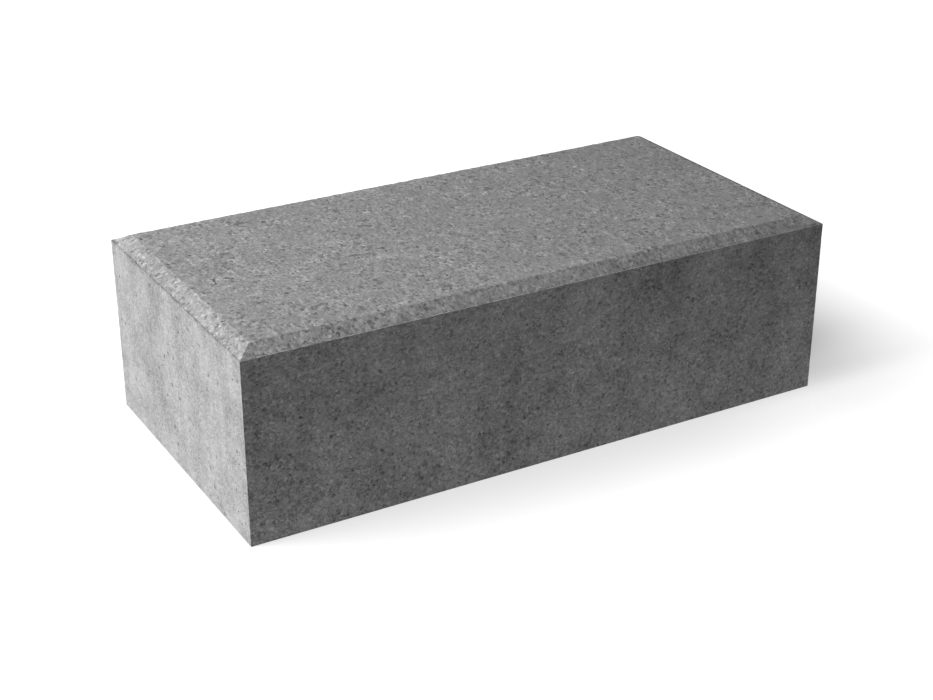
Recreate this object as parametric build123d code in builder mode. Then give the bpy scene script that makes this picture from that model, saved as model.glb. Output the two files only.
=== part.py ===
from build123d import *
import os

# Concrete paving stone, pressed in one piece: a rectangular block with a bevel round its wearing face.
# X runs along the stone, Y across it and Z up. The origin is the centre of the bed, the flat face
# that the stone lies on.

# Size of the block in millimetres
stone_length = 200.0
stone_width = 100.0
stone_thickness = 60.0

# Bevel: how far its slope reaches in over the wearing face, and how far it drops towards the sides
bevel_reach = 4.5
bevel_drop = 2.5

# Rim: the narrow level strip that the gap between press plate and mould leaves at the bevel's foot
rim_width = 0.5

os.makedirs("parts", exist_ok=True)

with BuildPart() as paving_stone:
    # The middle of the block lies under the press plate, which stands clear of the mould by the rim.
    # The plate shapes the wearing face and the bevel, whose slopes meet in a mitre at each corner.
    with BuildSketch(Plane.XY):
        Rectangle(stone_length - 2 * rim_width, stone_width - 2 * rim_width)
    extrude(amount=stone_thickness)
    wearing_face = paving_stone.faces().sort_by(Axis.Z)[-1]
    chamfer(wearing_face.edges(), length=bevel_reach, length2=bevel_drop, reference=wearing_face)

    # The mould shapes the sides, and fills up to the bevel's foot.
    with BuildSketch(Plane.XY):
        Rectangle(stone_length, stone_width)
    extrude(amount=stone_thickness - bevel_drop)

paving_stone.part.label = "paving_stone"
export_step(paving_stone.part, "parts/paving_stone.step")
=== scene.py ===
"""Concrete paving stone: an add-on that models a pressed stone over its CAD frame and stands it in a studio.

A mould gives the real stone its upright sides, and a press plate its wearing face, bevel and rim. The mesh is
made the same way. One set of patterns, in Concrete, then gives both the relief of the mesh and its colours,
so that a pit that is sunk into the surface is also darkened with painted shade.
"""

import math

import bmesh
import bpy
from bpy.props import FloatProperty, FloatVectorProperty, PointerProperty
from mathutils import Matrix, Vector


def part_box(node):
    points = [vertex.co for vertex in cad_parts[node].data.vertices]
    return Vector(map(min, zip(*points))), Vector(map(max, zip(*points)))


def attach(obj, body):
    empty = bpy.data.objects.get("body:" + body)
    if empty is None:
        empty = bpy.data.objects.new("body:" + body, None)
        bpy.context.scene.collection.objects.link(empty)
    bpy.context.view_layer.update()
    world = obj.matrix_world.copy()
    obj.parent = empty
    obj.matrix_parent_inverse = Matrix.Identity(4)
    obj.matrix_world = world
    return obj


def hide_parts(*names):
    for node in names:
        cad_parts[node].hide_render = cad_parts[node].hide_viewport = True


bl_info = {
    "name": "Concrete Paving Stone",
    "version": (1, 0, 0),
    "blender": (4, 5, 0),
    "location": "3D View > Sidebar > Paving",
    "description": "Models a pressed concrete paving stone with its sandy relief, and a studio to show it in",
    "category": "Add Mesh",
}

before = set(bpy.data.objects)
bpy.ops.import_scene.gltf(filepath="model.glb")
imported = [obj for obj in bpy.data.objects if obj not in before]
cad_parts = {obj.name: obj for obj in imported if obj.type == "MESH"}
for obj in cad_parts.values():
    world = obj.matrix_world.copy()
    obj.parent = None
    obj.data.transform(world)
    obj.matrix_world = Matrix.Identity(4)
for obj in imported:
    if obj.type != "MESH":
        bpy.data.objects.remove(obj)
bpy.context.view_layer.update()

NODE = "paving_stone"
BODY = "root"

# Sizes of the CAD solid, read from its corners. Corners nearer than SAME are at one level.
SAME = 1e-5
LOW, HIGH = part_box(NODE)
CORNERS = [vertex.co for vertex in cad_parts[NODE].data.vertices]
FOOT = max(corner.z for corner in CORNERS if corner.z < HIGH.z - SAME)
PLATE_END = max(corner.x for corner in CORNERS if corner.x < HIGH.x - SAME)
FACE_END = max(corner.x for corner in CORNERS if corner.z > HIGH.z - SAME)

MILLI = 0.001
MICRO = 0.000001

# The mesh keeps, under this name, where each vertex was before the relief moved it.
PLACE = "pressed_place"
UV_MAP = "OFBake"
ISLAND_MARGIN = 0.01
MOST_TRIANGLES = 200000
# Subdivide makes no more cuts than this in an edge at once
MOST_CUTS = 100

# How far one octave of Blender's noise strays from its mean of 0.5, as a standard deviation
NOISE_SPREAD = 0.14


def length(name, description, default, **options):
    """A property for a length, in metres."""
    return FloatProperty(name=name, description=description, default=default,
                         subtype="DISTANCE", unit="LENGTH", precision=5, min=0.0, **options)


def share(name, description, default):
    """A property for a plain factor."""
    return FloatProperty(name=name, description=description, default=default, precision=3, min=0.0)


def grey(name, description, default):
    """A property for a colour, in linear light."""
    return FloatVectorProperty(name=name, description=description, default=default,
                               subtype="COLOR", size=3, min=0.0, max=1.0)


class StoneSizes(bpy.types.PropertyGroup):
    """Sizes of the stone, taken from the CAD frame."""
    length: length("Length", "Along the stone, over its ends", HIGH.x - LOW.x)
    width: length("Width", "Across the stone, over its sides", HIGH.y - LOW.y)
    thickness: length("Thickness", "From the bed to the wearing face", HIGH.z - LOW.z)
    rim_width: length("Rim", "Level strip at the foot of the bevel", HIGH.x - PLATE_END)
    bevel_reach: length("Bevel reach", "How far in the bevel slopes up to the wearing face",
                        PLATE_END - FACE_END)
    bevel_drop: length("Bevel drop", "How far the bevel drops towards the sides", HIGH.z - FOOT)
    facet: length("Facet", "Width of the facets that the surface is cut into", 0.75 * MILLI)

    @property
    def foot(self):
        """Height of the bevel's foot."""
        return self.thickness - self.bevel_drop

    @property
    def border(self):
        """Distance in plan from the stone's sides to the wearing face."""
        return self.rim_width + self.bevel_reach


class ConcreteFinish(bpy.types.PropertyGroup):
    """Colours and relief of the concrete."""
    cement: grey("Cement", "Mean colour of the dry concrete", (0.33, 0.33, 0.33))
    pale_grain: grey("Pale grain", "Colour of the few pale sand grains", (0.62, 0.62, 0.62))
    dark_grain: grey("Dark grain", "Colour of the few dark sand grains", (0.13, 0.13, 0.13))
    # The hollow colour is painted shade, put in the pits and along the upper edges and rim at the bevel's
    # foot
    hollow_shade: grey("Hollow", "Colour of the dust at the bottom of a pit", (0.14, 0.14, 0.14))
    lump_size: length("Lumps", "Size of the broadest lumps in the surface", 4 * MILLI)
    pressed_relief: length("Pressed relief", "How much they stand out under the press plate", 22 * MICRO)
    moulded_relief: length("Moulded relief", "How much they stand out on the sides", 40 * MICRO)
    lump_contrast: share("Lump contrast", "How much the colour varies from lump to lump", 0.035)
    grain_size: length("Grain", "Size of the coarser sand grains on the long sides", 1.0 * MILLI)
    grain_relief: length("Grain relief", "How far the coarser sand grains stand out", 140 * MICRO)
    grain_contrast: share("Grain contrast", "How much the colour varies from grain to grain", 0.40)
    cloud_size: length("Cloud size", "Size of the broadest patches of lighter and darker cement", 32 * MILLI)
    cloud_contrast: share("Cloud contrast", "How much those patches differ on the moulded sides", 0.05)
    streak_width: length("Streak width", "Width of the upright streaks that the mould leaves", 9 * MILLI)
    streak_contrast: share("Streak contrast", "How much the streaks differ", 0.03)
    pit_spacing: length("Pit spacing", "Distance between neighbouring pits", 3.2 * MILLI)
    pit_radius: length("Pit radius", "Radius of the largest pits", 0.8 * MILLI)
    pit_depth: length("Pit depth", "Depth of the largest pits", 0.35 * MILLI)
    wear_reach: length("Wear reach", "How far in from an edge the stone has crumbled", 0.9 * MILLI)
    wear_depth: length("Wear depth", "How much has crumbled off an edge at most", 0.12 * MILLI)


class StudioStage(bpy.types.PropertyGroup):
    """Floor, light and camera."""
    floor: grey("Floor", "Colour of the floor", (0.3, 0.3, 0.3))
    # End shadow and side shadow set how far the floor's painted shadow reaches
    end_shadow: length("End shadow", "How far from the stone's ends the floor turns plain white", 75 * MILLI)
    side_shadow: length("Side shadow", "How far from its sides the floor turns plain white", 60 * MILLI)
    key_power: FloatProperty(name="Key power", description="Power of the soft lamp beside the stone",
                             default=8.86, min=0.0, unit="POWER")
    key_width: length("Key width", "Width of that lamp", 0.36)
    key_height: length("Key height", "Height of that lamp", 0.50)
    fill: share("Fill", "Strength of the even light from all round", 0.05)
    table: share("Table", "Strength of the light from the floor, as on a light table", 0.465)
    azimuth: FloatProperty(name="Azimuth", description="Bearing of the camera from the stone's front",
                           default=math.radians(-30.026), subtype="ANGLE", unit="ROTATION")
    tilt: FloatProperty(name="Tilt", description="How far the camera looks down",
                        default=math.radians(25.56), subtype="ANGLE", unit="ROTATION")
    distance: length("Distance", "Level distance of the camera", 507.3 * MILLI)
    slide: FloatProperty(name="Slide", description="How far the camera stands to the right of its bearing",
                         default=-1.4 * MILLI, subtype="DISTANCE", unit="LENGTH", precision=5)
    height: length("Height", "Height of the camera over the bed", 259.0 * MILLI)
    lens: FloatProperty(name="Lens", description="Focal length", default=67.02, min=1.0, unit="CAMERA")


class Signal:
    """A value that leaves a node. An expression on signals and numbers adds the Math nodes for it."""

    def __init__(self, graph, socket):
        self.graph = graph
        self.socket = socket

    def of(self, name):
        """Another output of the same node."""
        return Signal(self.graph, self.socket.node.outputs[name])

    def __add__(self, other):
        return self.graph.math("ADD", self, other)

    def __radd__(self, other):
        return self.graph.math("ADD", other, self)

    def __sub__(self, other):
        return self.graph.math("SUBTRACT", self, other)

    def __rsub__(self, other):
        return self.graph.math("SUBTRACT", other, self)

    def __mul__(self, other):
        return self.graph.math("MULTIPLY", self, other)

    def __rmul__(self, other):
        return self.graph.math("MULTIPLY", other, self)

    def __abs__(self):
        return self.graph.math("ABSOLUTE", self)


class Graph:
    """A node tree, of a material, a world or a modifier, that is written as expressions."""

    def __init__(self, tree):
        self.tree = tree
        tree.nodes.clear()

    def node(self, kind, settings=None, sockets=None, output=0):
        """Adds a node, sets its settings, then sets or links its sockets. Returns one of its outputs."""
        made = self.tree.nodes.new(kind)
        for name, value in (settings or {}).items():
            setattr(made, name, value)
        for name, value in (sockets or {}).items():
            if isinstance(value, Signal):
                self.tree.links.new(value.socket, made.inputs[name])
            else:
                made.inputs[name].default_value = value
        return Signal(self, made.outputs[output]) if made.outputs else None

    def math(self, operation, *values):
        """One step of arithmetic."""
        return self.node("ShaderNodeMath", {"operation": operation}, dict(enumerate(values)))

    def least(self, first, *others):
        """The lowest of several values."""
        for other in others:
            first = self.math("MINIMUM", first, other)
        return first

    def most(self, first, *others):
        """The highest of several values."""
        for other in others:
            first = self.math("MAXIMUM", first, other)
        return first

    def rise(self, value, start, end):
        """0 up to start, 1 from end on and a smooth curve between them. End may be the lower one."""
        return self.node("ShaderNodeMapRange", {"interpolation_type": "SMOOTHSTEP"},
                         {"Value": value, "From Min": start, "From Max": end})

    def split(self, vector):
        """The three parts of a vector."""
        parts = self.node("ShaderNodeSeparateXYZ", None, {"Vector": vector}, "X")
        return parts, parts.of("Y"), parts.of("Z")

    def stretch(self, vector, factors):
        """The vector with each part times its factor."""
        return self.node("ShaderNodeVectorMath", {"operation": "MULTIPLY"}, {0: vector, 1: factors})

    def blend(self, amount, first, second):
        """The first colour, or as much of the second as amount says."""
        return self.node("ShaderNodeMix", {"data_type": "RGBA"}, {0: amount, 6: first, 7: second}, 2)

    def noise(self, place, size, octaves, roughness=1.0):
        """Soft noise about 0 in patches of that size, with a spread of 1, and more in finer and finer ones.

        Each octave has patches half as wide as the one before, and as much of its spread as roughness says.
        """
        cloud = self.node("ShaderNodeTexNoise", None, {
            "Vector": place, "Scale": 1.0 / size, "Detail": octaves - 1.0, "Roughness": roughness})
        total = sum(roughness ** octave for octave in range(octaves))
        return (cloud - 0.5) * (total / NOISE_SPREAD)

    def cells(self, place, size):
        """Cells of that size: how far off the nearest middle is, in sizes. Its random lots are in Color."""
        return self.node("ShaderNodeTexVoronoi", None, {"Vector": place, "Scale": 1.0 / size}, "Distance")


class Concrete:
    """Patterns of the concrete over the stone, as signals, for both its relief and its colours."""

    # The mould drags streaks upright on the sides, which makes them this much longer than wide
    STREAK_DRAG = 8.0
    # How much wider grains are under the press plate than on the long sides, and how much finer on the ends
    PRESSED_GRAIN = 1.18
    END_FINENESS = 0.33

    # Chips off the mould's corners and crumbs off the brow: their width, the noise at which they start and
    # are whole, and how deep a chip is as a share of the wear
    CHIP_WIDTH = 3.5 * MILLI
    CHIP_RANGE = (1.2, 3.5)
    CHIP_DEPTH = 0.6
    CRUMB_WIDTH = 1.8 * MILLI
    CRUMB_RANGE = (-0.8, 2.0)

    # The share of the rim that the bevel's foot covers at most, and the patches in which it does
    FOOT_COVER = 0.9
    COVER_WIDTH = 14.0 * MILLI
    COVER_RANGE = (-1.3, 0.6)
    COVER_ROUGHNESS = 0.7

    # How far the brow strays in plan, the width of its waves, and how far round it the surface strays too
    BROW_STRAY = 0.06 * MILLI
    BROW_WAVE = 3.0 * MILLI
    BROW_REACH = 2 * MILLI
    # Bands along the brow, on the bevel and on the wearing face: distance from it and half width
    LOWER_BAND = 0.6 * MILLI
    LOWER_BAND_HALF = 0.9 * MILLI
    UPPER_BAND = 1.3 * MILLI
    UPPER_BAND_HALF = 1.4 * MILLI

    # Painted shade along the upper edges of the ends, at the bevel's foot: its reach down them, that as a
    # share of its reach inwards, its strength, the patches it lies in and the finer breaks in them, with the
    # share that a break leaves
    EDGE_SHADE_REACH = 1.6 * MILLI
    EDGE_SHADE_SLANT = 0.8
    EDGE_SHADE_STRENGTH = 0.75
    PATCH_WIDTH = 6.0 * MILLI
    PATCH_RANGE = (-1.5, 0.5)
    BREAK_WIDTH = 1.6 * MILLI
    BREAK_RANGE = (-0.8, 1.0)
    BREAK_LEAVES = 0.35
    # Painted shade on the rim of the long sides: where it ends, in rim widths, and its strength
    RIM_FADE = 1.5
    RIM_SHADE = 0.1

    # Size and amount of the waves that bend spots out of round
    BEND = MILLI
    # The smallest spot as a share of the largest, and a spot's plain middle as a share of that spot
    SMALLEST_SPOT = 0.35
    SPOT_MIDDLE = 0.3
    # Shares of the cells that hold a pit, a dark speck and a pale grain
    PIT_SHARE = 0.4
    SPECK_SHARE = 0.35
    PALE_SHARE = 0.25
    # Specks and pale grains: distance between neighbours and radius of the largest
    SPECK_SPACING = 1.7 * MILLI
    SPECK_RADIUS = 0.95 * MILLI
    PALE_SPACING = 1.45 * MILLI
    PALE_RADIUS = 0.7 * MILLI
    # How much pits and specks crowd, in crowds of what width, and where there are more specks and pale grains
    PIT_CROWDING = 0.15
    PIT_CROWD = 12 * MILLI
    SPECK_CROWDING = 0.35
    SPECK_CROWD = 6 * MILLI
    SPECKS_BELOW_BROW = 0.45
    SPECKS_ON_END_BEVEL = 0.15
    PALE_ON_END_BEVEL = 0.4
    # What the bevel takes off the pits, the crowding and radius of specks, and the radius of pale grains
    PITS_OFF_BEVEL = 0.85
    CROWDING_OFF_BEVEL = 0.6
    SPECKS_OFF_BEVEL = 0.35
    PALE_OFF_BEVEL = 0.25

    # Broad clouds under the press plate and what the ends' bevels add, against those on the sides
    PRESSED_CLOUDS = 0.3
    END_BEVEL_CLOUDS = 0.4
    # How much calmer the ends are, and how much paler, with painted light, towards the bed and the front
    END_CALM = 0.2
    PAINTED_BED_LIGHT = 0.06
    PAINTED_FRONT_LIGHT = 0.08
    # How much of its spread each finer octave of the lumps keeps
    PRESSED_ROUGHNESS = 0.6
    MOULDED_ROUGHNESS = 0.65
    # Distance from a grain's middle, in grains, at which it has sloped down to nothing
    GRAIN_EDGE = 0.8

    def __init__(self, graph, place, sizes, finish):
        self.graph = graph
        self.place = place
        self.finish = finish
        along, across, up = graph.split(place)
        end = sizes.length / 2 - abs(along)
        side = sizes.width / 2 - abs(across)
        inset = graph.least(end, side)

        # Where the press plate shaped the stone, and of that the bevel with its rim
        self.pressed = graph.rise(up, sizes.foot - SAME, sizes.foot + SAME)
        wearing = graph.rise(inset, sizes.border - sizes.rim_width, sizes.border) * self.pressed
        self.bevel = self.pressed - wearing
        self.above_bed = graph.rise(up, SAME, SAME * 2)

        # Crumbled edges: the mould's corners, and the brow where the bevel meets the wearing face
        arris = graph.least(graph.most(end, side), inset + abs(up - sizes.foot), inset + up)
        brow = abs(inset - sizes.border)
        chips = self.CHIP_DEPTH * graph.rise(graph.noise(place, self.CHIP_WIDTH, octaves=2), *self.CHIP_RANGE)
        crumbs = graph.rise(graph.noise(place, self.CRUMB_WIDTH, octaves=2), *self.CRUMB_RANGE)
        worn_arris = graph.rise(arris, finish.wear_reach, 0.0) * chips
        worn_brow = graph.rise(brow, finish.wear_reach, 0.0) * crumbs * self.pressed
        self.wear = graph.most(worn_arris, worn_brow)

        # In plan, the bevel's foot covers more or less of the rim, and the brow is ragged
        inside_rim = graph.rise(inset, sizes.rim_width - 2 * SAME, sizes.rim_width - SAME) * self.pressed
        near_foot = graph.most(sizes.border - inset, 0.0) * (1.0 / sizes.bevel_reach) * inside_rim
        near_brow = graph.rise(brow, self.BROW_REACH, 0.0) * inside_rim
        cover = graph.noise(place, self.COVER_WIDTH, octaves=4, roughness=self.COVER_ROUGHNESS)
        covered = graph.rise(cover, *self.COVER_RANGE)
        ragged = graph.noise(place, self.BROW_WAVE, octaves=2)
        foot_shift = near_foot * covered * (self.FOOT_COVER * sizes.rim_width)
        shift = foot_shift + near_brow * ragged * self.BROW_STRAY
        nearest_end = graph.rise(end, inset + 2 * SAME, inset + SAME)
        nearest_side = graph.rise(side, inset + 2 * SAME, inset + SAME)
        self.outward = graph.node("ShaderNodeCombineXYZ", None, {
            "X": graph.math("SIGN", along) * nearest_end * shift,
            "Y": graph.math("SIGN", across) * nearest_side * shift})

        # Bands along the brow, and the ends with their bevels
        lower = abs(inset + self.LOWER_BAND - sizes.border)
        upper = abs(inset - self.UPPER_BAND - sizes.border)
        self.below_brow = graph.rise(lower, self.LOWER_BAND_HALF, 0.0) * inside_rim
        self.above_brow = graph.rise(upper, self.UPPER_BAND_HALF, 0.0) * self.pressed
        self.end_bevel = self.bevel * nearest_end
        self.end_side = nearest_end * (1.0 - self.pressed)
        self.height_share = up * (1.0 / sizes.foot)
        self.width_share = across * (1.0 / sizes.width)

        # Painted shade along the upper edges of the ends and on the rim of the long sides
        patchy = graph.rise(graph.noise(place, self.PATCH_WIDTH, octaves=3), *self.PATCH_RANGE)
        breaks = graph.rise(graph.noise(place, self.BREAK_WIDTH, octaves=3), *self.BREAK_RANGE)
        broken = self.BREAK_LEAVES + (1.0 - self.BREAK_LEAVES) * breaks
        off_edge = self.EDGE_SHADE_SLANT * inset + abs(up - sizes.foot)
        edge_shade = graph.rise(off_edge, self.EDGE_SHADE_REACH, 0.0) * nearest_end * patchy * broken
        level = graph.rise(inset, self.RIM_FADE * sizes.rim_width, sizes.rim_width)
        level = level * self.pressed * nearest_side
        # Painted shade along the ends' upper edges and on the long sides' rim
        self.rim = graph.most(self.EDGE_SHADE_STRENGTH * edge_shade, self.RIM_SHADE * level)

        # Places sifted for the grains, whose size differs from face to face
        finer = self.by_face(1.0, 1.0 / self.PRESSED_GRAIN) + self.END_FINENESS * self.end_side
        self.sifted = graph.node("ShaderNodeVectorMath", {"operation": "SCALE"},
                                 {"Vector": place, "Scale": finer})

        # Pits, and dark specks and pale grains in the colour alone, are all bent out of round
        bend = graph.node("ShaderNodeTexNoise", None, {"Vector": place, "Scale": 1.0 / self.BEND}, "Color")
        self.bent = graph.node("ShaderNodeVectorMath", {"operation": "MULTIPLY_ADD"},
                               {0: bend, 1: (self.BEND, self.BEND, self.BEND), 2: place})
        crowd = self.PIT_CROWDING * graph.noise(place, self.PIT_CROWD, octaves=1)
        pits = self.spots(finish.pit_spacing, finish.pit_radius, self.PIT_SHARE, crowd)
        self.pits = pits * (1.0 - self.PITS_OFF_BEVEL * self.bevel)

    def spots(self, spacing, radius, held, crowd):
        """Spots of up to that radius, 1 in the middle and 0 around, in that share of the cells."""
        graph = self.graph
        cell = graph.cells(self.bent, spacing)
        lot, _, _ = graph.split(cell.of("Color"))
        rank = graph.most((lot - 1.0) * (1.0 / held) + 1.0 + crowd, 0.0)
        growth = 1.0 - self.SMALLEST_SPOT
        reach = (self.SMALLEST_SPOT + growth * rank * rank) * radius * (1.0 / spacing)
        return graph.rise(cell, reach, reach * self.SPOT_MIDDLE) * graph.rise(rank, 0.0, SAME)

    def specks(self):
        """Dark specks between the grains."""
        crowd = self.SPECK_CROWDING * self.graph.noise(self.place, self.SPECK_CROWD, octaves=2)
        crowd = crowd * (1.0 - self.CROWDING_OFF_BEVEL * self.bevel)
        crowd = crowd + self.SPECKS_BELOW_BROW * self.below_brow + self.SPECKS_ON_END_BEVEL * self.end_bevel
        radius = self.SPECK_RADIUS * (1.0 - self.SPECKS_OFF_BEVEL * self.bevel)
        return self.spots(self.SPECK_SPACING, radius, self.SPECK_SHARE, crowd)

    def pale_grains(self):
        """Pale grains of sand, more of them on the bevels of the ends."""
        radius = self.PALE_RADIUS * (1.0 - self.PALE_OFF_BEVEL * self.bevel)
        return self.spots(self.PALE_SPACING, radius, self.PALE_SHARE, self.PALE_ON_END_BEVEL * self.end_bevel)

    def by_face(self, moulded, pressed):
        """One value on the sides, and another where the press plate shaped the stone."""
        return moulded + (pressed - moulded) * self.pressed

    def clouds_and_painted_light(self):
        """Lighter and darker patches of cement, upright and broad on the sides, small all over; painted light
        on the ends.
        """
        graph = self.graph
        finish = self.finish
        on_pressed = self.PRESSED_CLOUDS + self.END_BEVEL_CLOUDS * self.end_bevel
        broad = graph.noise(self.place, finish.cloud_size, octaves=3) * self.by_face(1.0, on_pressed)
        drawn_out = graph.stretch(self.place, (1.0, 1.0, 1.0 / self.STREAK_DRAG))
        streaks = graph.noise(drawn_out, finish.streak_width, octaves=2) * self.by_face(1.0, 0.0)
        small = graph.noise(self.place, finish.lump_size, octaves=4)
        calm = 1.0 - self.END_CALM * self.end_side
        below_middle = 0.5 - self.height_share
        # Painted light: the ends are paler towards the bed and towards the front
        painted_end_light = self.end_side * (below_middle * self.PAINTED_BED_LIGHT - self.width_share * self.PAINTED_FRONT_LIGHT)
        finer = (streaks * finish.streak_contrast + small * finish.lump_contrast) * calm
        return broad * finish.cloud_contrast + finer + painted_end_light

    def lumps(self):
        """How far the lumps of sand stand out. The sides are rougher than the pressed faces."""
        graph = self.graph
        finish = self.finish
        pressed = graph.noise(self.place, finish.lump_size, 5, self.PRESSED_ROUGHNESS)
        moulded = graph.noise(self.place, finish.lump_size, 5, self.MOULDED_ROUGHNESS)
        return self.by_face(moulded * finish.moulded_relief, pressed * finish.pressed_relief)

    def sand(self, size):
        """Sand grains of that size: how far each stands out, from 0 to 1, and its tone, from -1 to 1."""
        cell = self.graph.cells(self.sifted, size)
        height, tone, _ = self.graph.split(cell.of("Color"))
        tone = tone * 2.0 - 1.0
        return height * height * self.graph.rise(cell, self.GRAIN_EDGE, 0.0), tone * tone * tone


def pick(kind, test):
    """Selects the faces or edges, in edit mode, that pass the test, and nothing else."""
    bpy.ops.mesh.select_all(action="DESELECT")
    bpy.ops.mesh.select_mode(type="FACE" if kind == "faces" else "EDGE")
    mesh = bpy.context.edit_object.data
    form = bmesh.from_edit_mesh(mesh)
    for item in getattr(form, kind):
        item.select_set(test(item))
    bmesh.update_edit_mesh(mesh)


def run(edge):
    """The way an edge runs, as the sizes of its three parts."""
    first, second = edge.verts
    return [abs(part) for part in second.co - first.co]


def press_block(sizes):
    """The plain stone: a block up to the bevel's foot, and on it, inside the rim, the mitred bevel."""
    bpy.ops.object.select_all(action="DESELECT")
    bpy.ops.mesh.primitive_cube_add(size=1.0, location=(0.0, 0.0, sizes.foot / 2))
    stone = bpy.context.object
    stone.name = "concrete_paving_stone"
    stone.scale = (sizes.length, sizes.width, sizes.foot)
    bpy.ops.object.transform_apply(location=True, rotation=True, scale=True)

    bpy.ops.object.mode_set(mode="EDIT")
    pick("faces", lambda face: face.calc_center_median().z > sizes.foot - SAME)
    bpy.ops.mesh.inset(thickness=sizes.rim_width)
    bpy.ops.mesh.extrude_region_move(TRANSFORM_OT_translate={"value": (0.0, 0.0, sizes.bevel_drop)})
    shortened = 1.0 - 2 * sizes.bevel_reach / (sizes.length - 2 * sizes.rim_width)
    narrowed = 1.0 - 2 * sizes.bevel_reach / (sizes.width - 2 * sizes.rim_width)
    bpy.ops.transform.resize(value=(shortened, narrowed, 1.0), center_override=(0.0, 0.0, sizes.thickness))
    bpy.ops.object.mode_set(mode="OBJECT")
    return stone


def lay_out(stone):
    """A map of the stone's faces for the textures, and sharp edges wherever two of its faces meet."""
    bpy.ops.object.mode_set(mode="EDIT")
    bpy.ops.mesh.select_all(action="SELECT")
    bpy.ops.mesh.mark_sharp()
    bpy.ops.uv.smart_project(island_margin=ISLAND_MARGIN)
    bpy.ops.object.mode_set(mode="OBJECT")
    stone.data.uv_layers.active.name = UV_MAP
    bpy.ops.object.shade_smooth()


def runs_along(axis):
    """A test for the edges that run along one axis."""
    def test(edge):
        parts = run(edge)
        return parts[axis] > SAME and sum(parts) - parts[axis] < SAME
    return test


def cut_along(axis, span, facet):
    """Cuts the edges that run along an axis, over all of their span, into facets of about that width."""
    segments = round(span / facet)
    rounds = math.ceil(segments / (MOST_CUTS + 1))
    pick("edges", runs_along(axis))
    bpy.ops.mesh.subdivide(number_cuts=math.ceil(segments / rounds) - 1)
    if rounds > 1:
        pick("edges", runs_along(axis))
        bpy.ops.mesh.subdivide(number_cuts=rounds - 1)


def cut_facets(sizes):
    """Cuts every face but the bed into facets. The bed stays one face."""
    bpy.ops.object.mode_set(mode="EDIT")
    cut_along(0, sizes.length - 2 * sizes.border, sizes.facet)
    cut_along(1, sizes.width - 2 * sizes.border, sizes.facet)
    cut_along(2, sizes.foot, sizes.facet)
    pick("edges", lambda edge: run(edge)[2] > sizes.bevel_drop - SAME and max(run(edge)[:2]) > SAME)
    sloping = round(math.hypot(sizes.bevel_reach, sizes.bevel_drop) / sizes.facet)
    bpy.ops.mesh.subdivide(number_cuts=sloping - 1)
    pick("faces", lambda face: face.calc_center_median().z < SAME)
    bpy.ops.mesh.dissolve_faces()
    bpy.ops.object.mode_set(mode="OBJECT")


def relief_modifier(sizes, finish):
    """The node group for pits, worn edges, foot and brow, which also keeps the plain places under PLACE."""
    tree = bpy.data.node_groups.new("concrete relief", "GeometryNodeTree")
    tree.interface.new_socket("Geometry", in_out="INPUT", socket_type="NodeSocketGeometry")
    tree.interface.new_socket("Geometry", in_out="OUTPUT", socket_type="NodeSocketGeometry")
    graph = Graph(tree)
    plain = graph.node("NodeGroupInput")
    place = graph.node("GeometryNodeInputPosition")
    normal = graph.node("GeometryNodeInputNormal")
    concrete = Concrete(graph, place, sizes, finish)
    depth = concrete.pits * finish.pit_depth + concrete.wear * finish.wear_depth
    kept = graph.node("GeometryNodeStoreNamedAttribute", {"data_type": "FLOAT_VECTOR", "domain": "POINT"},
                      {"Geometry": plain, "Name": PLACE, "Value": place})
    inwards = graph.node("ShaderNodeVectorMath", {"operation": "SCALE"},
                         {"Vector": normal, "Scale": 0.0 - depth})
    level = graph.node("ShaderNodeCombineXYZ", None, {"X": 1.0, "Y": 1.0, "Z": concrete.above_bed})
    sunken = graph.stretch(inwards, level)
    offset = graph.node("ShaderNodeVectorMath", {"operation": "ADD"}, {0: sunken, 1: concrete.outward})
    sunk = graph.node("GeometryNodeSetPosition", None, {"Geometry": kept, "Offset": offset})
    graph.node("NodeGroupOutput", None, {"Geometry": sunk})
    return tree


# Contrast of the grains against that on the long sides: under the press plate, what the bevel and the ends'
# bevels add, and what the ends take off
PRESSED_SPECKLE = 0.94
BEVEL_SPECKLE = 0.1
END_BEVEL_SPECKLE = 0.05
END_SPECKLE_LOSS = 0.38
# How much that contrast varies from patch to patch under the press plate, how much less on the bevel, and the
# width of the patches
LIVELINESS = 0.22
BEVEL_LIVELINESS_LOSS = 0.12
LIVELY_WIDTH = 8.0 * MILLI
# How much paler and darker the bands above and below the brow are: a painted highlight on the wearing face
# above the brow and painted shade on the bevel below it
BROW_HIGHLIGHT = 0.05
BROW_SHADE = 0.06
# How strong the colours of pale grains, dark specks and the painted shade in pits are
MOULDED_PALE = 0.15
PRESSED_PALE = 0.5
END_BEVEL_PALE = 0.1
MOULDED_DARK = 0.25
PRESSED_DARK = 0.75
PIT_SHADE = 0.85
# Size and height of the finer grains as shares of the coarser ones', and how much less grit the bevel has
FINE_GRAIN = 0.5
FINE_GRIT = 0.4
BEVEL_GRIT_LOSS = 0.5
# Share of a pit's depth that the bump adds to it
PIT_BUMP = 0.5
# Mean roughness, and how much it varies from grain to grain
ROUGHNESS = 0.9
ROUGHNESS_SPREAD = 0.1


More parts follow.
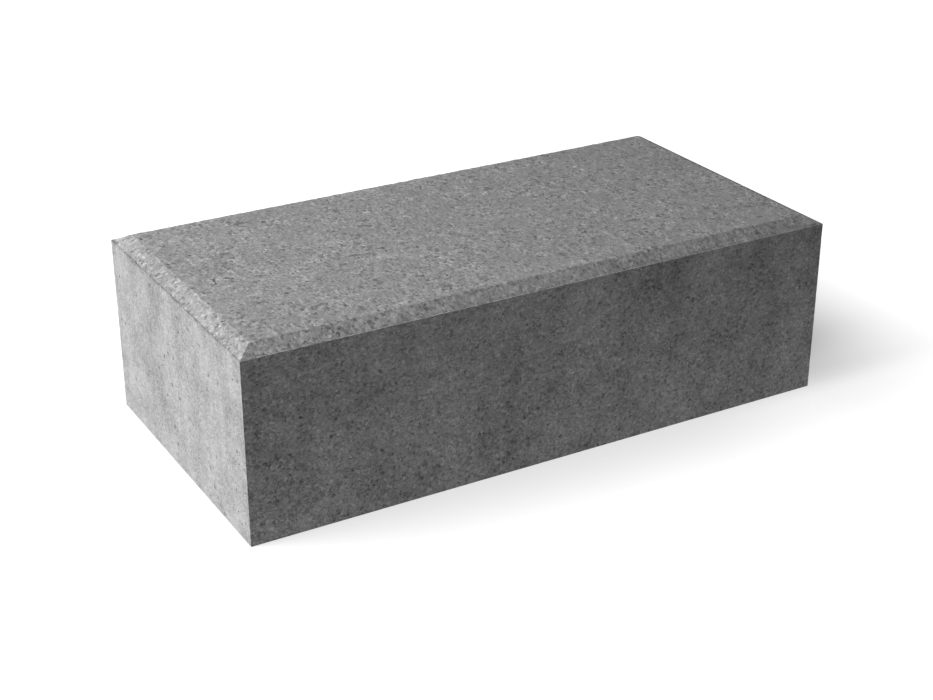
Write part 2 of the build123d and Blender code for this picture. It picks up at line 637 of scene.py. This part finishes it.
def concrete_material(sizes, finish):
    """Dry grey concrete: cement clouds and streaks, sand grains, and painted light and shade on pits, foot,
    brow and ends.
    """
    material = bpy.data.materials.new("concrete")
    material.use_nodes = True
    graph = Graph(material.node_tree)
    place = graph.node("ShaderNodeAttribute", {"attribute_name": PLACE}, None, "Vector")
    concrete = Concrete(graph, place, sizes, finish)

    coarse_height, coarse_tone = concrete.sand(finish.grain_size)
    fine_height, fine_tone = concrete.sand(finish.grain_size * FINE_GRAIN)
    strength = concrete.by_face(1.0, PRESSED_SPECKLE + BEVEL_SPECKLE * concrete.bevel)
    strength = strength + END_BEVEL_SPECKLE * concrete.end_bevel - END_SPECKLE_LOSS * concrete.end_side
    liveliness = concrete.by_face(0.0, LIVELINESS) - BEVEL_LIVELINESS_LOSS * concrete.bevel
    lively = 1.0 + liveliness * graph.noise(place, LIVELY_WIDTH, octaves=2)
    speckle = (coarse_tone + fine_tone) * finish.grain_contrast * strength * lively
    # Painted highlight above the brow and painted shade below it
    painted_brow_light = BROW_HIGHLIGHT * concrete.above_brow - BROW_SHADE * concrete.below_brow
    tone = 1.0 + concrete.clouds_and_painted_light() + painted_brow_light + speckle
    cement = graph.node("ShaderNodeMix", {"data_type": "RGBA", "blend_type": "MULTIPLY"},
                        {0: 1.0, 6: (*finish.cement, 1.0), 7: tone}, 2)
    on_pressed = PRESSED_PALE + END_BEVEL_PALE * concrete.end_bevel
    pale = concrete.pale_grains() * concrete.by_face(MOULDED_PALE, on_pressed)
    dark = concrete.specks() * concrete.by_face(MOULDED_DARK, PRESSED_DARK)
    grains = graph.blend(pale, cement, (*finish.pale_grain, 1.0))
    grains = graph.blend(dark, grains, (*finish.dark_grain, 1.0))
    # Painted shade: the pits and the bevel's foot are darkened towards the hollow colour
    painted_shade = graph.most(concrete.pits * PIT_SHADE, concrete.rim)
    colour = graph.blend(painted_shade, grains, (*finish.hollow_shade, 1.0))

    rough = ROUGHNESS + coarse_tone * ROUGHNESS_SPREAD
    grit = (coarse_height + fine_height * FINE_GRIT) * finish.grain_relief
    grit = grit * (1.0 - BEVEL_GRIT_LOSS * concrete.bevel)
    height = concrete.lumps() + grit - concrete.pits * (PIT_BUMP * finish.pit_depth)
    surface = graph.node("ShaderNodeBump", None, {"Height": height, "Distance": 1.0, "Strength": 1.0})
    shader = graph.node("ShaderNodeBsdfPrincipled", None,
                        {"Base Color": colour, "Roughness": rough, "Normal": surface})
    graph.node("ShaderNodeOutputMaterial", None, {"Surface": shader})
    return material


def shown(graph):
    """1 for a ray that shows a thing to the camera, straight or by gloss or glass, and 0 for its light."""
    path = graph.node("ShaderNodeLightPath", None, None, "Is Camera Ray")
    return graph.most(path, path.of("Is Glossy Ray"), path.of("Is Transmission Ray"))


# The camera sees a painted shadow on the floor, on top of its real one. How white the floor shows right
# beside the stone, and in the painted shadow at the middle of the far end. Further from that middle it gets
# whiter in two steps: each over this range across the stone, and by this much.
BESIDE_WHITE = 0.71
PAINTED_SHADOW_WHITE = 0.23
MIDDLE_RANGE = (12 * MILLI, 45 * MILLI)
MIDDLE_GAIN = 0.32
CORNER_RANGE = (40 * MILLI, 58 * MILLI)
CORNER_GAIN = 0.27
# How far before that end the painted shadow starts under the stone and in front of it, and the width of the
# change between the two at its sides
UNDER_START = 6 * MILLI
FRONT_START = 60 * MILLI
SIDE_CHANGE = 4 * MILLI
# The floor's own colour where it shows
SHOWN_FLOOR = (0.35, 0.35, 0.35, 1.0)
# The share of the light table's light far from the stone, and where that starts, in widths of the shadow
TABLE_FAR = 0.3
TABLE_REACH = 2.0


def floor_material(sizes, stage):
    """A pale floor with its real shadow and a painted one beside the stone, and plain white further off."""
    material = bpy.data.materials.new("studio floor")
    material.use_nodes = True
    graph = Graph(material.node_tree)
    place = graph.node("ShaderNodeTexCoord", None, None, "Object")
    along, across, _ = graph.split(place)
    beyond_end = graph.most(abs(along) - sizes.length / 2, 0.0)
    beyond_side = graph.most(abs(across) - sizes.width / 2, 0.0)
    end_share = beyond_end * (1.0 / stage.end_shadow)
    side_share = beyond_side * (1.0 / stage.side_shadow)
    away = graph.math("SQRT", end_share * end_share + side_share * side_share)
    under = graph.rise(along, sizes.length / 2 - UNDER_START, sizes.length / 2)
    in_front = graph.rise(along, sizes.length / 2 - FRONT_START, sizes.length / 2)
    beside = graph.rise(abs(across), sizes.width / 2 - SIDE_CHANGE, sizes.width / 2)
    past_end = under + (in_front - under) * beside
    middle = graph.rise(abs(across), *MIDDLE_RANGE) * MIDDLE_GAIN
    corner = graph.rise(abs(across), *CORNER_RANGE) * CORNER_GAIN
    # For the camera the floor glows with a painted shadow beside the stone, over its real shadow, and plain
    # white further off
    painted_shadow_tone = BESIDE_WHITE + past_end * (middle + corner + PAINTED_SHADOW_WHITE - BESIDE_WHITE)
    white = painted_shadow_tone + (1.0 - painted_shadow_tone) * graph.rise(away, 0.0, 1.0)

    table = stage.table * (TABLE_FAR + (1.0 - TABLE_FAR) * graph.rise(away, TABLE_REACH, 0.0))
    lit = graph.node("ShaderNodeAddShader", None, {
        0: graph.node("ShaderNodeBsdfDiffuse", None, {"Color": (*stage.floor, 1.0)}),
        1: graph.node("ShaderNodeEmission", None, {"Color": table})})
    painted_shadow_glow = graph.node("ShaderNodeEmission", None, {"Color": white})
    pale = graph.node("ShaderNodeBsdfDiffuse", None, {"Color": SHOWN_FLOOR})
    seen = graph.node("ShaderNodeAddShader", None, {0: pale, 1: painted_shadow_glow})
    mixed = graph.node("ShaderNodeMixShader", None, {0: shown(graph), 1: lit, 2: seen})
    graph.node("ShaderNodeOutputMaterial", None, {"Surface": mixed})
    return material


def studio_world(stage):
    """Even light from all round, which shows as white."""
    world = bpy.data.worlds.new("studio")
    world.use_nodes = True
    graph = Graph(world.node_tree)
    fill = graph.node("ShaderNodeBackground", None, {"Color": (1.0, 1.0, 1.0, 1.0), "Strength": stage.fill})
    white = graph.node("ShaderNodeBackground", None, {"Color": (1.0, 1.0, 1.0, 1.0), "Strength": 1.0})
    mixed = graph.node("ShaderNodeMixShader", None, {0: shown(graph), 1: fill, 2: white})
    graph.node("ShaderNodeOutputWorld", None, {"Surface": mixed})
    return world


class PAVING_OT_stone(bpy.types.Operator):
    """Models the paving stone in place of its CAD solid"""
    bl_idname = "paving.stone"
    bl_label = "Press Stone"
    bl_options = {"REGISTER", "UNDO"}

    def execute(self, context):
        sizes = context.scene.paving_sizes
        finish = context.scene.paving_finish
        stone = press_block(sizes)
        lay_out(stone)
        cut_facets(sizes)
        relief = stone.modifiers.new("relief", "NODES")
        relief.node_group = relief_modifier(sizes, finish)
        bpy.ops.object.modifier_apply(modifier=relief.name)
        stone.data.materials.append(concrete_material(sizes, finish))
        stone.data.calc_loop_triangles()
        if len(stone.data.loop_triangles) > MOST_TRIANGLES:
            raise RuntimeError("The stone has too many triangles: make its facets wider")
        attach(stone, BODY)
        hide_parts(NODE)
        return {"FINISHED"}


FLOOR_SIZE = 12.0
# Where the lamp stands from the point it shines at
KEY_WAY = Vector((-0.80, 0.13, 0.56))
KEY_DISTANCE = 0.8
CLIP_START = 0.01


class PAVING_OT_stage(bpy.types.Operator):
    """Sets the floor, the light and the camera round the stone"""
    bl_idname = "paving.stage"
    bl_label = "Set Stage"
    bl_options = {"REGISTER", "UNDO"}

    def execute(self, context):
        scene = context.scene
        sizes = scene.paving_sizes
        stage = scene.paving_stage
        self.lay_floor(sizes, stage)
        self.light(scene, sizes, stage)
        self.aim_camera(scene, stage)
        scene.view_settings.view_transform = "Standard"
        return {"FINISHED"}

    def lay_floor(self, sizes, stage):
        """A wide floor under the stone."""
        bpy.ops.object.select_all(action="DESELECT")
        bpy.ops.mesh.primitive_plane_add(size=FLOOR_SIZE)
        floor = bpy.context.object
        floor.name = "studio_floor"
        floor.data.materials.append(floor_material(sizes, stage))

    def light(self, scene, sizes, stage):
        """A soft lamp to the left of the stone, low and a little behind it, and an even fill."""
        aim = Vector((-sizes.length / 4, 0.0, sizes.thickness / 2))
        stand = aim + KEY_DISTANCE * KEY_WAY.normalized()
        turn = (stand - aim).to_track_quat("Z", "Y").to_euler()
        bpy.ops.object.light_add(type="AREA", location=stand, rotation=turn)
        lamp = bpy.context.object
        lamp.name = "key_lamp"
        lamp.data.shape = "RECTANGLE"
        lamp.data.size = stage.key_width
        lamp.data.size_y = stage.key_height
        lamp.data.energy = stage.key_power
        scene.world = studio_world(stage)

    def aim_camera(self, scene, stage):
        """A plain camera where the photograph was taken from, turned down to the stone."""
        right = Vector((math.cos(stage.azimuth), math.sin(stage.azimuth), 0.0))
        upright = Vector((0.0, 0.0, 1.0))
        back = right.cross(upright)
        stand = back * stage.distance + right * stage.slide + upright * stage.height
        turn = (math.pi / 2 - stage.tilt, 0.0, stage.azimuth)
        bpy.ops.object.camera_add(location=stand, rotation=turn)
        camera = bpy.context.object
        camera.name = "studio_camera"
        camera.data.lens = stage.lens
        camera.data.clip_start = CLIP_START
        scene.camera = camera


class PAVING_PT_panel(bpy.types.Panel):
    """Sizes and colours of the stone and its studio, with the steps that build them"""
    bl_idname = "PAVING_PT_panel"
    bl_label = "Concrete Paving Stone"
    bl_space_type = "VIEW_3D"
    bl_region_type = "UI"
    bl_category = "Paving"

    def draw(self, context):
        scene = context.scene
        layout = self.layout
        layout.use_property_split = True
        for title, group, operator in (
            ("Stone", (scene.paving_sizes, scene.paving_finish), PAVING_OT_stone),
            ("Stage", (scene.paving_stage,), PAVING_OT_stage),
        ):
            box = layout.box()
            box.label(text=title)
            for settings in group:
                for name in settings.__annotations__:
                    box.prop(settings, name)
            box.operator(operator.bl_idname)


CLASSES = (StoneSizes, ConcreteFinish, StudioStage, PAVING_OT_stone, PAVING_OT_stage, PAVING_PT_panel)


def register():
    for kind in CLASSES:
        bpy.utils.register_class(kind)
    bpy.types.Scene.paving_sizes = PointerProperty(type=StoneSizes)
    bpy.types.Scene.paving_finish = PointerProperty(type=ConcreteFinish)
    bpy.types.Scene.paving_stage = PointerProperty(type=StudioStage)


def unregister():
    del bpy.types.Scene.paving_stage
    del bpy.types.Scene.paving_finish
    del bpy.types.Scene.paving_sizes
    for kind in reversed(CLASSES):
        bpy.utils.unregister_class(kind)


def main():
    register()
    bpy.ops.paving.stone()
    bpy.ops.paving.stage()


if __name__ == "__main__":
    main()
